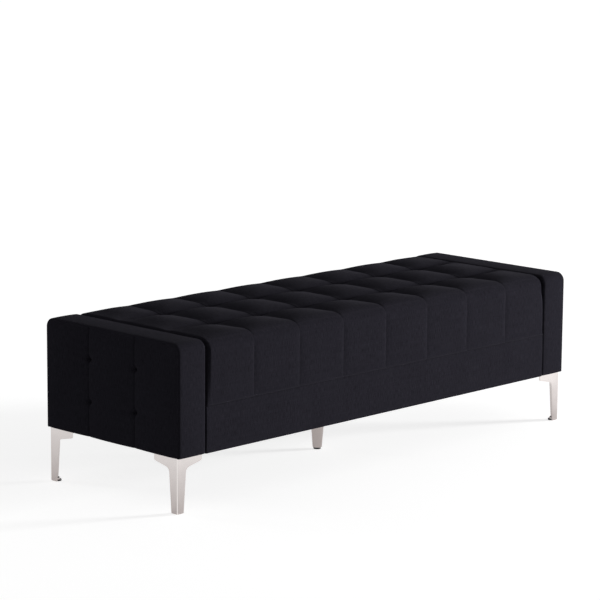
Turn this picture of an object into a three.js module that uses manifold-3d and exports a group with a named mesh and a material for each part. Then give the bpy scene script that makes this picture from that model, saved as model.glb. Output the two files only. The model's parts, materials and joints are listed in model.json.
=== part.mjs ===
// Hotel luggage bench: a tufted seat between two upholstered end panels, on five metal legs.
// Millimetres, +Z up, front towards -Y, origin on the floor under the middle of the bench.
import * as THREE from 'three';
import { mergeVertices } from 'three/addons/utils/BufferGeometryUtils.js';
import Module from 'manifold-3d';

// Overall sizes
const BENCH_LENGTH = 1600;
const BENCH_DEPTH = 530;
const LEG_HEIGHT = 152;
const ARM_HEIGHT = 305;
const ARM_THICKNESS = 100;
const BASE_HEIGHT = 126;
const FIT = 0.3;

// Arm covers: quilted fill outside, thin wrap on the other faces
const ARM_CORNER_RADIUS = 26;
const ARM_EDGE_RADIUS = 7;
const ARM_FILL = 22;
const ARM_WRAP = 10;
const ARM_SEAM_SPACING = 182;
const ARM_SEAM_DEPTH = 3;
const ARM_SEAM_WIDTH = 30;
const ARM_TUFT_DEPTH = 11;
const ARM_TUFT_WIDTH = 40;
const ARM_LOWER_TUFT = 96;
const ARM_TUFT_SPACING = 117;

// Arm frames: plywood panels over posts and rails
const PANEL_PLY = 12;
const POST_WIDTH = 45;
const TOP_RAIL_HEIGHT = 30;
const BOTTOM_BOARD = 18;

// Tufted seat
const SEAT_GAP = 4;
const SEAT_RISE = 188;
const SEAT_EDGE_RADIUS = 30;
const SEAT_COLUMNS = 8;
const SEAT_ROW_SPACING = 188;
const SEAT_PUFF = 10;
const SEAT_SEAM_DEPTH = 4;
const SEAT_WALL = 14;
const SEAT_NODE_WALL = 8;

// Seat box
const RAIL_PLY = 22;
const DECK_PLY = 12;
const DUST_SHEET = 1.5;
const BAND_THICKNESS = 10;
const BAND_EDGE_RADIUS = 4;
const STRETCHER_SPACING = 350;
const CENTRE_BLOCK = 60;

// Tie strips and the cords that pull the tufts
const STRIP_WIDTH = 30;
const STRIP_PLY = 8;
const STRIP_OVERHANG = 25;
const CORD_RADIUS = 1.5;
const CORD_PLAY = 1.2;

// Corner legs: two tapered walls with wings, a top plate and a foot plate
const LEG_INSET_X = 6;
const LEG_INSET_Y = 11;
const LEG_WALL = 4;
const LEG_FOOT_WIDTH = 23.5;
const LEG_NECK_WIDTH = 32.7;
const LEG_NECK_DROP = 30.5;
const NECK_FILLET = 13;
const WING_LENGTH = 90;
const WING_TIP = 18;
const WING_TIP_RADIUS = 5;
const LEG_PLATE = 4;
const FOOT_PLATE = 4;
const FOOT_GAP = 1;
const GLIDE_THICKNESS = 5;
const GLIDE_STEM_RADIUS = 3;
const GLIDE_STEM_END = 2;
const FOOT_CHAMFER = 1;

// Wood screws through the leg plates
const SCREW_RADIUS = 2;
const SCREW_HEAD_RADIUS = 4.2;
const SCREW_HEAD_HEIGHT = 2.4;
const SCREW_MARGIN = 10;
const SCREW_SPREAD = 46;
const SCREW_STOP = 3;

// Round centre leg
const CENTRE_FOOT_RADIUS = 13.7;
const CENTRE_TOP_RADIUS = 24.7;
const CENTRE_PLATE = 3;
const CENTRE_PLATE_SIZE = 70;
const CENTRE_GLIDE_RIM = 2.5;
const STUD_RADIUS = 4;
const STUD_LENGTH = 40;

// Bolts that hold the arms to the seat box
const BOLT_RADIUS = 4;
const BOLT_HEAD_RADIUS = 7;
const BOLT_HEAD_HEIGHT = 5.5;
const BOLT_SPREAD = 300;
const BOLT_END = 3;

// Places that several pieces share
const innerLength = BENCH_LENGTH - 2 * ARM_THICKNESS;
const seamHeight = LEG_HEIGHT + BASE_HEIGHT;
const seatLength = innerLength - 2 * SEAT_GAP;
const columnPitch = seatLength / SEAT_COLUMNS;
const columnSeams = Array.from({ length: SEAT_COLUMNS - 1 }, (_, i) => (i + 1) * columnPitch - seatLength / 2);
const rowSeams = [-SEAT_ROW_SPACING / 2, SEAT_ROW_SPACING / 2];
const foamTop = seamHeight + SEAT_RISE - 2 * SEAT_PUFF - SEAT_NODE_WALL - FIT;
const frameHalf = BENCH_DEPTH / 2 - BAND_THICKNESS - FIT;
const railBottom = LEG_HEIGHT + DUST_SHEET + FIT;
const railTop = seamHeight - DECK_PLY - FIT;
const armSeams = [-ARM_SEAM_SPACING / 2, ARM_SEAM_SPACING / 2];
const armTufts = [ARM_LOWER_TUFT, ARM_LOWER_TUFT + ARM_TUFT_SPACING];
const boltHeight = BASE_HEIGHT / 2;
const boltPlaces = [-BOLT_SPREAD / 2, BOLT_SPREAD / 2];
const cordHole = CORD_RADIUS + CORD_PLAY;

const fabric = new THREE.MeshStandardMaterial({ color: 0x26252b, roughness: 0.95, metalness: 0 });
const plywood = new THREE.MeshStandardMaterial({ color: 0xb8986a, roughness: 0.8, metalness: 0 });
const foam = new THREE.MeshStandardMaterial({ color: 0xe6ddc4, roughness: 1, metalness: 0 });
const dustCloth = new THREE.MeshStandardMaterial({ color: 0x1a1a1c, roughness: 1, metalness: 0 });
const satinMetal = new THREE.MeshStandardMaterial({ color: 0xcfc8c4, roughness: 0.32, metalness: 1 });
const zincSteel = new THREE.MeshStandardMaterial({ color: 0xb4b6ba, roughness: 0.4, metalness: 1 });
const blackPlastic = new THREE.MeshStandardMaterial({ color: 0x232325, roughness: 0.6, metalness: 0 });

const wasm = await Module();
wasm.setup();

// Boolean joins and cuts on closed meshes
function solidOf(geometry) {
  const bare = geometry.clone();
  bare.deleteAttribute('normal');
  bare.deleteAttribute('uv');
  const merged = mergeVertices(bare, 1e-3);
  const vertProperties = new Float32Array(merged.attributes.position.array);
  const triVerts = new Uint32Array(merged.index.array);
  return new wasm.Manifold(new wasm.Mesh({ numProp: 3, vertProperties, triVerts }));
}

function geometryOf(solid) {
  const { vertProperties, triVerts } = solid.getMesh();
  const geometry = new THREE.BufferGeometry();
  geometry.setAttribute('position', new THREE.BufferAttribute(vertProperties, 3));
  geometry.setIndex(new THREE.BufferAttribute(triVerts, 1));
  geometry.computeVertexNormals();
  return geometry;
}

function cut(base, ...tools) {
  return geometryOf(tools.reduce((solid, tool) => solid.subtract(solidOf(tool)), solidOf(base)));
}

function join(first, ...others) {
  return geometryOf(others.reduce((solid, other) => solid.add(solidOf(other)), solidOf(first)));
}

// Plain pieces: boards between two corners, rods, turned shapes and outlines given a thickness
function board(x0, x1, y0, y1, z0, z1) {
  const box = new THREE.BoxGeometry(x1 - x0, y1 - y0, z1 - z0);
  return box.translate((x0 + x1) / 2, (y0 + y1) / 2, (z0 + z1) / 2);
}

function rodZ(radius, x, y, z0, z1, sides = 8) {
  const rod = new THREE.CylinderGeometry(radius, radius, z1 - z0, sides);
  return rod.rotateX(Math.PI / 2).translate(x, y, (z0 + z1) / 2);
}

function rodX(radius, x0, x1, y, z, sides = 8) {
  const rod = new THREE.CylinderGeometry(radius, radius, x1 - x0, sides);
  return rod.rotateZ(Math.PI / 2).translate((x0 + x1) / 2, y, z);
}

function turned(profile, x, y, sides = 16) {
  const points = profile.map(([radius, height]) => new THREE.Vector2(radius, height));
  return new THREE.LatheGeometry(points, sides).rotateX(Math.PI / 2).translate(x, y, 0);
}

function extruded(shape, from, to, right, up) {
  const options = { depth: to - from, bevelEnabled: false, curveSegments: 4 };
  const along = new THREE.Vector3().crossVectors(right, up);
  const turn = new THREE.Matrix4().makeBasis(right, up, along);
  return new THREE.ExtrudeGeometry(shape, options).translate(0, 0, from).applyMatrix4(turn);
}

const axisX = new THREE.Vector3(1, 0, 0);
const axisY = new THREE.Vector3(0, 1, 0);
const axisZ = new THREE.Vector3(0, 0, 1);

// Outline drawn in depth and height, given a thickness along X
function slabX(shape, x0, x1) {
  return extruded(shape, x0, x1, axisY, axisZ);
}

// Outline drawn in length and height, given a thickness along Y
function slabY(shape, y0, y1) {
  return extruded(shape, -y1, -y0, axisX, axisZ);
}

// Outline drawn in plan, given a thickness along Z
function slabZ(shape, z0, z1) {
  return extruded(shape, z0, z1, axisX, axisY);
}

function polygon(...corners) {
  return new THREE.Shape(corners.map(([a, b]) => new THREE.Vector2(a, b)));
}

// Upright outline with round top corners
function archOutline(half, bottom, top, radius) {
  const shape = new THREE.Shape();
  shape.moveTo(-half, bottom);
  shape.lineTo(half, bottom);
  shape.lineTo(half, top - radius);
  shape.absarc(half - radius, top - radius, radius, 0, Math.PI / 2);
  shape.lineTo(radius - half, top);
  shape.absarc(radius - half, top - radius, radius, Math.PI / 2, Math.PI);
  return shape;
}

// Closed net over the outside of a block of grid lines, with each crossing moved by a formula
function softBlock(xs, ys, zs, moved) {
  const numbers = new Map();
  const points = [];
  const faces = [];
  const crossing = (i, j, k) => {
    const key = (i * ys.length + j) * zs.length + k;
    if (!numbers.has(key)) {
      numbers.set(key, points.length / 3);
      points.push(...moved(xs[i], ys[j], zs[k]));
    }
    return numbers.get(key);
  };
  const side = (columns, rows, at, facesOut) => {
    for (let c = 0; c + 1 < columns; c += 1) {
      for (let r = 0; r + 1 < rows; r += 1) {
        const loop = [at(c, r), at(c + 1, r), at(c + 1, r + 1), at(c, r + 1)];
        const [p, q, s, t] = facesOut ? loop : loop.reverse();
        faces.push(p, q, s, p, s, t);
      }
    }
  };
  const [nx, ny, nz] = [xs.length, ys.length, zs.length];
  side(nx, ny, (c, r) => crossing(c, r, nz - 1), true);
  side(nx, ny, (c, r) => crossing(c, r, 0), false);
  side(nx, nz, (c, r) => crossing(c, 0, r), true);
  side(nx, nz, (c, r) => crossing(c, ny - 1, r), false);
  side(ny, nz, (c, r) => crossing(nx - 1, c, r), true);
  side(ny, nz, (c, r) => crossing(0, c, r), false);
  const geometry = new THREE.BufferGeometry();
  geometry.setAttribute('position', new THREE.Float32BufferAttribute(points, 3));
  geometry.setIndex(faces);
  geometry.computeVertexNormals();
  return geometry;
}

// Grid lines across a rounded edge, at equal angles of the rounding
const roundSteps = [1, 1 - Math.tan(Math.PI / 8), 0];
const edgeLines = (half, radius) => roundSteps.map((step) => half - step * radius);
const mirrored = (lines) => [...lines.map((line) => -line).reverse(), 0, ...lines];

// Grid lines between stops, at the given shares of each bay
function bayLines(stops, shares) {
  const bays = stops.slice(0, -1).map((stop, i) => shares.map((share) => stop + share * (stops[i + 1] - stop)));
  return [...bays.flat(), stops.at(-1)];
}

// Share from one on a seam to zero at a given distance, with no sharp end
const bump = (distance, reach) => Math.max(0, 1 - (distance / reach) ** 2) ** 2;
const nearest = (value, lines) => Math.min(...lines.map((line) => Math.abs(value - line)));

const bench = new THREE.Group();

function place(name, geometry, material, parent = bench) {
  const mesh = new THREE.Mesh(geometry, material);
  mesh.name = name;
  parent.add(mesh);
  return mesh;
}

// Arm cover: a slab with round top corners and soft edges, its outer face drawn in along seams and tufts
function armCover() {
  const half = BENCH_DEPTH / 2;
  const edge = (x) => Math.max(0, ARM_EDGE_RADIUS - Math.min(x, ARM_THICKNESS - x));
  const inset = (x) => ARM_EDGE_RADIUS - Math.sqrt(ARM_EDGE_RADIUS ** 2 - edge(x) ** 2);
  const drawn = (y, z) => {
    const seam = bump(nearest(y, armSeams), ARM_SEAM_WIDTH / 2);
    const tuft = bump(nearest(z, armTufts), ARM_TUFT_WIDTH / 2);
    return seam * (ARM_SEAM_DEPTH + (ARM_TUFT_DEPTH - ARM_SEAM_DEPTH) * tuft);
  };
  const moved = (x, y, z) => {
    const shrink = 1 - inset(x) / ARM_CORNER_RADIUS;
    const coreY = Math.min(half - ARM_CORNER_RADIUS, Math.abs(y));
    const coreZ = Math.min(ARM_HEIGHT - ARM_CORNER_RADIUS, z);
    const outY = (Math.abs(y) - coreY) * shrink;
    const outZ = (z - coreZ) * shrink;
    const round = Math.max(outY, outZ) / (Math.hypot(outY, outZ) || 1);
    const px = x === 0 ? drawn(y, z) : x;
    return [px, Math.sign(y) * (coreY + outY * round), coreZ + outZ * round];
  };
  const bevel = [0, ARM_EDGE_RADIUS * (1 - Math.SQRT1_2), ARM_EDGE_RADIUS];
  const xs = [...bevel, ...bevel.map((x) => ARM_THICKNESS - x).reverse()];
  const seamLines = (seam) => [-0.5, -0.25, 0, 0.25, 0.5].map((step) => seam + step * ARM_SEAM_WIDTH);
  const ys = mirrored([...seamLines(armSeams[1]), ...edgeLines(half, ARM_CORNER_RADIUS)]);
  const tuftLines = (tuft) => [-0.5, -0.2, 0, 0.2, 0.5].map((step) => tuft + step * ARM_TUFT_WIDTH);
  const zs = [-ARM_EDGE_RADIUS, ...armTufts.flatMap(tuftLines), ...edgeLines(ARM_HEIGHT, ARM_CORNER_RADIUS)];
  const block = softBlock(xs, ys, zs, moved);
  const pocketRadius = Math.max(ARM_CORNER_RADIUS - ARM_WRAP, FIT);
  const pocket = archOutline(half - ARM_WRAP, -2 * ARM_EDGE_RADIUS, ARM_HEIGHT - ARM_WRAP, pocketRadius);
  const below = board(-ARM_FILL, 2 * ARM_THICKNESS, -BENCH_DEPTH, BENCH_DEPTH, -2 * ARM_EDGE_RADIUS, 0);
  const bolts = boltPlaces.map((y) => {
    return rodX(BOLT_RADIUS + FIT, ARM_THICKNESS - 2 * ARM_WRAP, ARM_THICKNESS + ARM_WRAP, y, boltHeight);
  });
  return cut(block, slabX(pocket, ARM_FILL, ARM_THICKNESS - ARM_WRAP), below, ...bolts);
}

// Screws sit on the arm's bottom board, measured from the leg's outer corner
const screwNear = ARM_FILL - LEG_INSET_X + SCREW_MARGIN;
const screwFar = screwNear + SCREW_SPREAD;
const screwPlaces = [[screwNear, screwNear], [screwFar, screwNear], [screwNear, screwFar]];

// One arm with its frame, drawn for the left end: outer face at x = 0, underside at z = 0
function buildArm(side, group) {
  const name = (piece) => `${side}_arm_${piece}`;
  const outer = ARM_FILL + FIT;
  const inner = ARM_THICKNESS - ARM_WRAP - FIT;
  const half = BENCH_DEPTH / 2 - ARM_WRAP - FIT;
  const top = ARM_HEIGHT - ARM_WRAP - FIT;
  const radius = Math.max(ARM_CORNER_RADIUS - ARM_WRAP, FIT);
  const panelBottom = BOTTOM_BOARD + FIT;
  const coreOuter = outer + PANEL_PLY + FIT;
  const coreInner = inner - PANEL_PLY - FIT;
  const railBase = top - Math.max(TOP_RAIL_HEIGHT, radius);
  const panel = archOutline(half, panelBottom, top, radius);
  const cordHoles = armSeams.flatMap((y) => {
    return armTufts.map((z) => rodX(cordHole, 0, ARM_THICKNESS / 2, y, z));
  });
  const boltHoles = boltPlaces.map((y) => rodX(BOLT_RADIUS + FIT, ARM_THICKNESS / 2, ARM_THICKNESS, y, boltHeight));
  place(name('cover'), armCover(), fabric, group);
  place(name('outer_panel'), cut(slabX(panel, outer, outer + PANEL_PLY), ...cordHoles), plywood, group);
  place(name('inner_panel'), cut(slabX(panel, inner - PANEL_PLY, inner), ...boltHoles), plywood, group);
  const frontPost = board(coreOuter, coreInner, -half, POST_WIDTH - half, panelBottom, railBase - FIT);
  const backPost = board(coreOuter, coreInner, half - POST_WIDTH, half, panelBottom, railBase - FIT);
  place(name('front_post'), frontPost, plywood, group);
  place(name('back_post'), backPost, plywood, group);
  const topRail = board(coreOuter, coreInner, radius - half, half - radius, railBase, top);
  place(name('top_rail'), topRail, plywood, group);

  const legX = LEG_INSET_X;
  const legY = BENCH_DEPTH / 2 - LEG_INSET_Y;
  const screwHoles = [-1, 1].flatMap((end) => screwPlaces.map(([a, b]) => {
    return rodZ(SCREW_RADIUS + FIT, legX + a, end * (legY - b), -FIT, BOTTOM_BOARD - SCREW_STOP + FIT);
  }));
  const bottom = board(outer, inner, -half, half, 0, BOTTOM_BOARD);
  place(name('bottom_board'), cut(bottom, ...screwHoles), plywood, group);

  // Tie strips stand between the bottom board and the top rail, against the outer panel
  armSeams.forEach((y, i) => {
    const [left, right] = [y - STRIP_WIDTH / 2, y + STRIP_WIDTH / 2];
    const strip = board(coreOuter, coreOuter + STRIP_PLY, left, right, panelBottom, railBase - FIT);
    const cords = armTufts.map((z) => rodX(CORD_RADIUS, outer, coreOuter + STRIP_PLY / 2, y, z, 6));
    place(name(i === 0 ? 'front_tie' : 'back_tie'), join(strip, ...cords), plywood, group);
  });

  // Bolts come from inside the seat box, through its end rail, into the inner panel
  boltPlaces.forEach((y, i) => {
    const bearing = ARM_THICKNESS + FIT + RAIL_PLY + FIT;
    const shank = rodX(BOLT_RADIUS, inner - PANEL_PLY - BOLT_END, bearing + BOLT_HEAD_HEIGHT / 2, y, boltHeight);
    const head = rodX(BOLT_HEAD_RADIUS, bearing, bearing + BOLT_HEAD_HEIGHT, y, boltHeight, 6);
    place(name(i === 0 ? 'front_bolt' : 'back_bolt'), join(shank, head), zincSteel, group);
  });
}

for (const [side, sign] of [['left', -1], ['right', 1]]) {
  const arm = new THREE.Group();
  arm.position.set(sign * BENCH_LENGTH / 2, 0, LEG_HEIGHT);
  arm.scale.set(-sign, 1, 1);
  bench.add(arm);
  buildArm(side, arm);
}

// Seat cover: a rounded block whose top swells between the seams, hollow for the foam
function seatCover() {
  const half = [seatLength / 2, BENCH_DEPTH / 2, SEAT_RISE];
  const moved = (x, y, z) => {
    const point = new THREE.Vector3(x, y, z);
    const core = [x, y].map((v, i) => THREE.MathUtils.clamp(v, SEAT_EDGE_RADIUS - half[i], half[i] - SEAT_EDGE_RADIUS));
    const inner = new THREE.Vector3(core[0], core[1], Math.min(z, half[2] - SEAT_EDGE_RADIUS));
    const facing = point.sub(inner).normalize();
    const column = Math.max(0, 1 - nearest(x, columnSeams) / (columnPitch / 2));
    const row = Math.max(0, 1 - nearest(y, rowSeams) / (SEAT_ROW_SPACING / 2));
    const topDrop = SEAT_PUFF * (column ** 2 + row ** 2);
    const sideDrop = SEAT_SEAM_DEPTH * (column ** 4 * facing.y ** 2 + row ** 4 * facing.x ** 2);
    const reach = SEAT_EDGE_RADIUS - topDrop * facing.z ** 2 - sideDrop;
    return inner.addScaledVector(facing, reach).toArray();
  };
  const shares = [0, 0.22, 0.5, 0.78];
  const edgeX = edgeLines(half[0], SEAT_EDGE_RADIUS);
  const edgeY = edgeLines(half[1], SEAT_EDGE_RADIUS);
  const xs = [-edgeX[2], -edgeX[1], ...bayLines([-edgeX[0], ...columnSeams, edgeX[0]], shares), edgeX[1], edgeX[2]];
  const ys = [-edgeY[2], -edgeY[1], ...bayLines([-edgeY[0], ...rowSeams, edgeY[0]], shares), edgeY[1], edgeY[2]];
  const zs = [-SEAT_EDGE_RADIUS, SEAT_RISE / 2, ...edgeLines(SEAT_RISE, SEAT_EDGE_RADIUS)];
  const block = softBlock(xs, ys, zs, moved).translate(0, 0, seamHeight + FIT);
  const wide = seatLength / 2 - SEAT_WALL;
  const deep = BENCH_DEPTH / 2 - SEAT_WALL;
  const low = seamHeight - 2 * SEAT_EDGE_RADIUS;
  const below = board(-BENCH_LENGTH, BENCH_LENGTH, -BENCH_DEPTH, BENCH_DEPTH, low, seamHeight + FIT);
  return cut(block, board(-wide, wide, -deep, deep, low, foamTop + FIT), below);
}

place('seat_cover', seatCover(), fabric);

// Foam block and deck, both pierced where the cords pass
const nodePlaces = rowSeams.flatMap((y) => columnSeams.map((x) => [x, y]));
const foamBlock = board(
  SEAT_WALL + FIT - seatLength / 2, seatLength / 2 - SEAT_WALL - FIT,
  SEAT_WALL + FIT - BENCH_DEPTH / 2, BENCH_DEPTH / 2 - SEAT_WALL - FIT,
  seamHeight + FIT, foamTop,
);
const foamHoles = nodePlaces.map(([x, y]) => rodZ(cordHole, x, y, seamHeight - FIT, foamTop + FIT, 6));
place('seat_foam', cut(foamBlock, ...foamHoles), foam);

const boxEnd = innerLength / 2 - FIT;
const deckBoard = board(-boxEnd, boxEnd, -frameHalf, frameHalf, seamHeight - DECK_PLY, seamHeight);
const deckHoles = nodePlaces.map(([x, y]) => rodZ(cordHole, x, y, railTop, seamHeight + FIT, 6));
place('seat_deck', cut(deckBoard, ...deckHoles), plywood);

// Tie strips run under the deck, one for each row of nodes
rowSeams.forEach((y, i) => {
  const end = columnSeams.at(-1) + STRIP_OVERHANG;
  const strip = board(-end, end, y - STRIP_WIDTH / 2, y + STRIP_WIDTH / 2, railTop - STRIP_PLY, railTop);
  const cords = columnSeams.map((x) => rodZ(CORD_RADIUS, x, y, railTop - STRIP_PLY / 2, foamTop, 6));
  place(i === 0 ? 'seat_front_tie' : 'seat_back_tie', join(strip, ...cords), plywood);
});

// Rails round the seat box, and stretchers notched for the tie strips
const endRail = board(0, RAIL_PLY, -frameHalf, frameHalf, railBottom, railTop);
for (const [side, sign] of [['left', -1], ['right', 1]]) {
  const holes = boltPlaces.map((y) => rodX(BOLT_RADIUS + FIT, -RAIL_PLY, 2 * RAIL_PLY, y, LEG_HEIGHT + boltHeight));
  const rail = place(`base_${side}_rail`, cut(endRail, ...holes), plywood);
  rail.position.x = sign * boxEnd;
  rail.scale.x = -sign;
}

const railEnd = boxEnd - RAIL_PLY - FIT;
const longRail = board(-railEnd, railEnd, -frameHalf, RAIL_PLY - frameHalf, railBottom, railTop);
place('base_front_rail', longRail, plywood);
place('base_back_rail', longRail, plywood).scale.y = -1;

const stretcherHalf = frameHalf - RAIL_PLY - FIT;
const notches = rowSeams.map((y) => {
  const side = STRIP_WIDTH / 2 + FIT;
  return board(-CENTRE_BLOCK, CENTRE_BLOCK, y - side, y + side, railTop - STRIP_PLY - FIT, seamHeight);
});
const stretcher = (width) => {
  return cut(board(-width / 2, width / 2, -stretcherHalf, stretcherHalf, railBottom, railTop), ...notches);
};
const studHole = rodZ(STUD_RADIUS + FIT, 0, 0, LEG_HEIGHT - DUST_SHEET, railBottom + STUD_LENGTH + FIT, 12);
place('base_left_stretcher', stretcher(RAIL_PLY), plywood).position.x = -STRETCHER_SPACING;
place('base_centre_stretcher', cut(stretcher(CENTRE_BLOCK), studHole), plywood);
place('base_right_stretcher', stretcher(RAIL_PLY), plywood).position.x = STRETCHER_SPACING;

// Padded bands on the front and back of the seat box
const bandFront = -BENCH_DEPTH / 2;
const bandOutline = new THREE.Shape();
bandOutline.moveTo(bandFront + BAND_THICKNESS, LEG_HEIGHT);
bandOutline.lineTo(bandFront + BAND_THICKNESS, seamHeight);
bandOutline.lineTo(bandFront + BAND_EDGE_RADIUS, seamHeight);
bandOutline.quadraticCurveTo(bandFront, seamHeight, bandFront, seamHeight - BAND_EDGE_RADIUS);
bandOutline.lineTo(bandFront, LEG_HEIGHT + BAND_EDGE_RADIUS);
bandOutline.quadraticCurveTo(bandFront, LEG_HEIGHT, bandFront + BAND_EDGE_RADIUS, LEG_HEIGHT);
const band = slabX(bandOutline, -boxEnd, boxEnd);
place('base_front_band', band, fabric);
place('base_back_band', band, fabric).scale.y = -1;

const dustSheet = board(-boxEnd, boxEnd, -frameHalf, frameHalf, LEG_HEIGHT, LEG_HEIGHT + DUST_SHEET);
place('dust_cover', cut(dustSheet, studHole), dustCloth);

// Wall of a corner leg: tapered shank, round neck, and a wing that thins towards its tip
function legOutline() {
  const top = LEG_HEIGHT - FIT;
  const foot = new THREE.Vector2(LEG_FOOT_WIDTH, FOOT_GAP);
  const neck = new THREE.Vector2(LEG_NECK_WIDTH, LEG_HEIGHT - LEG_NECK_DROP);
  const tip = new THREE.Vector2(WING_LENGTH, LEG_HEIGHT - WING_TIP);
  const towards = (from, to, step) => from.clone().add(to.clone().sub(from).setLength(step));
  const start = towards(neck, foot, NECK_FILLET);
  const end = towards(neck, tip, NECK_FILLET);
  const turn = towards(tip, neck, WING_TIP_RADIUS);
  const shape = new THREE.Shape();
  shape.moveTo(0, FOOT_GAP);
  shape.lineTo(foot.x, foot.y);
  shape.lineTo(start.x, start.y);
  shape.quadraticCurveTo(neck.x, neck.y, end.x, end.y);
  shape.lineTo(turn.x, turn.y);
  shape.quadraticCurveTo(tip.x, tip.y, tip.x, tip.y + WING_TIP_RADIUS);
  shape.lineTo(WING_LENGTH, top);
  shape.lineTo(0, top);
  return shape;
}

// One corner leg, drawn with its outer corner at the origin and its walls along +X and +Y
const plateTop = LEG_HEIGHT - FIT;
const plateBottom = plateTop - LEG_PLATE;
const glideRadius = (LEG_FOOT_WIDTH - LEG_WALL - FIT) / 2;
const glideCentre = LEG_WALL + FIT + glideRadius;
const footBottom = GLIDE_THICKNESS + FIT;

function cornerLeg() {
  const wall = legOutline();
  const blunt = screwNear + SCREW_MARGIN;
  const plate = polygon([0, 0], [WING_LENGTH, 0], [WING_LENGTH, blunt], [blunt, WING_LENGTH], [0, WING_LENGTH]);
  const sole = polygon([0, 0], [LEG_FOOT_WIDTH, 0], [LEG_FOOT_WIDTH, LEG_FOOT_WIDTH], [0, LEG_FOOT_WIDTH]);
  const solid = join(
    slabY(wall, 0, LEG_WALL),
    slabX(wall, 0, LEG_WALL),
    slabZ(plate, plateBottom, plateTop),
    slabZ(sole, footBottom, footBottom + FOOT_PLATE),
  );
  const screwHoles = screwPlaces.map(([a, b]) => rodZ(SCREW_RADIUS + FIT, a, b, plateBottom - FIT, plateTop + FIT));
  const stemHole = rodZ(GLIDE_STEM_RADIUS + FIT, glideCentre, glideCentre, 0, footBottom + 2 * FOOT_PLATE, 12);
  return cut(solid, ...screwHoles, stemHole);
}

const stemTop = footBottom + FOOT_PLATE + GLIDE_STEM_END;
const glideProfile = [
  [0, 0], [glideRadius - FOOT_CHAMFER, 0], [glideRadius, FOOT_CHAMFER], [glideRadius, GLIDE_THICKNESS],
  [GLIDE_STEM_RADIUS, GLIDE_THICKNESS], [GLIDE_STEM_RADIUS, stemTop], [0, stemTop],
];
const screwSeat = plateBottom - FIT;
const screwTip = LEG_HEIGHT + BOTTOM_BOARD - SCREW_STOP;
const screwProfile = [
  [0, screwSeat - SCREW_HEAD_HEIGHT], [0.7 * SCREW_HEAD_RADIUS, screwSeat - SCREW_HEAD_HEIGHT],
  [SCREW_HEAD_RADIUS, screwSeat - SCREW_HEAD_HEIGHT / 2], [SCREW_HEAD_RADIUS, screwSeat],
  [SCREW_RADIUS, screwSeat], [SCREW_RADIUS, screwTip - 2 * SCREW_RADIUS], [0, screwTip],
];

for (const [end, signY] of [['front', -1], ['back', 1]]) {
  for (const [side, signX] of [['left', -1], ['right', 1]]) {
    const corner = new THREE.Group();
    corner.position.set(signX * (BENCH_LENGTH / 2 - LEG_INSET_X), signY * (BENCH_DEPTH / 2 - LEG_INSET_Y), 0);
    corner.scale.set(-signX, -signY, 1);
    bench.add(corner);
    place(`${end}_${side}_leg`, cornerLeg(), satinMetal, corner);
    place(`${end}_${side}_glide`, turned(glideProfile, glideCentre, glideCentre), blackPlastic, corner);
    screwPlaces.forEach(([a, b], i) => {
      place(`${end}_${side}_leg_screw_${i + 1}`, turned(screwProfile, a, b, 8), zincSteel, corner);
    });
  }
}

// Centre leg: a turned cone on a plate under the middle stretcher
const conePlateTop = LEG_HEIGHT - FIT;
const coneTop = conePlateTop - CENTRE_PLATE - FIT;
const coneFoot = GLIDE_THICKNESS + FIT;
const boreTop = stemTop + FIT;
const studTop = railBottom + STUD_LENGTH;
const coneProfile = [
  [0, boreTop], [GLIDE_STEM_RADIUS + FIT, boreTop], [GLIDE_STEM_RADIUS + FIT, coneFoot],
  [CENTRE_FOOT_RADIUS - FOOT_CHAMFER, coneFoot], [CENTRE_FOOT_RADIUS, coneFoot + FOOT_CHAMFER],
  [CENTRE_TOP_RADIUS, coneTop],
  [STUD_RADIUS, coneTop], [STUD_RADIUS, studTop], [0, studTop],
];
place('centre_leg', turned(coneProfile, 0, 0, 24), satinMetal);

const centreGlideRadius = CENTRE_FOOT_RADIUS - CENTRE_GLIDE_RIM;
const centreGlide = glideProfile.map(([r, z]) => [r > GLIDE_STEM_RADIUS ? r - glideRadius + centreGlideRadius : r, z]);
place('centre_glide', turned(centreGlide, 0, 0), blackPlastic);

const plateHalf = CENTRE_PLATE_SIZE / 2;
const plateBoard = board(-plateHalf, plateHalf, -plateHalf, plateHalf, conePlateTop - CENTRE_PLATE, conePlateTop);
place('centre_leg_plate', cut(plateBoard, rodZ(STUD_RADIUS + FIT, 0, 0, coneTop - FIT, LEG_HEIGHT, 12)), zincSteel);

export default bench;
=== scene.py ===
import json
import math

import bpy
import numpy as np
from mathutils import Euler, Matrix, Vector

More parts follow.
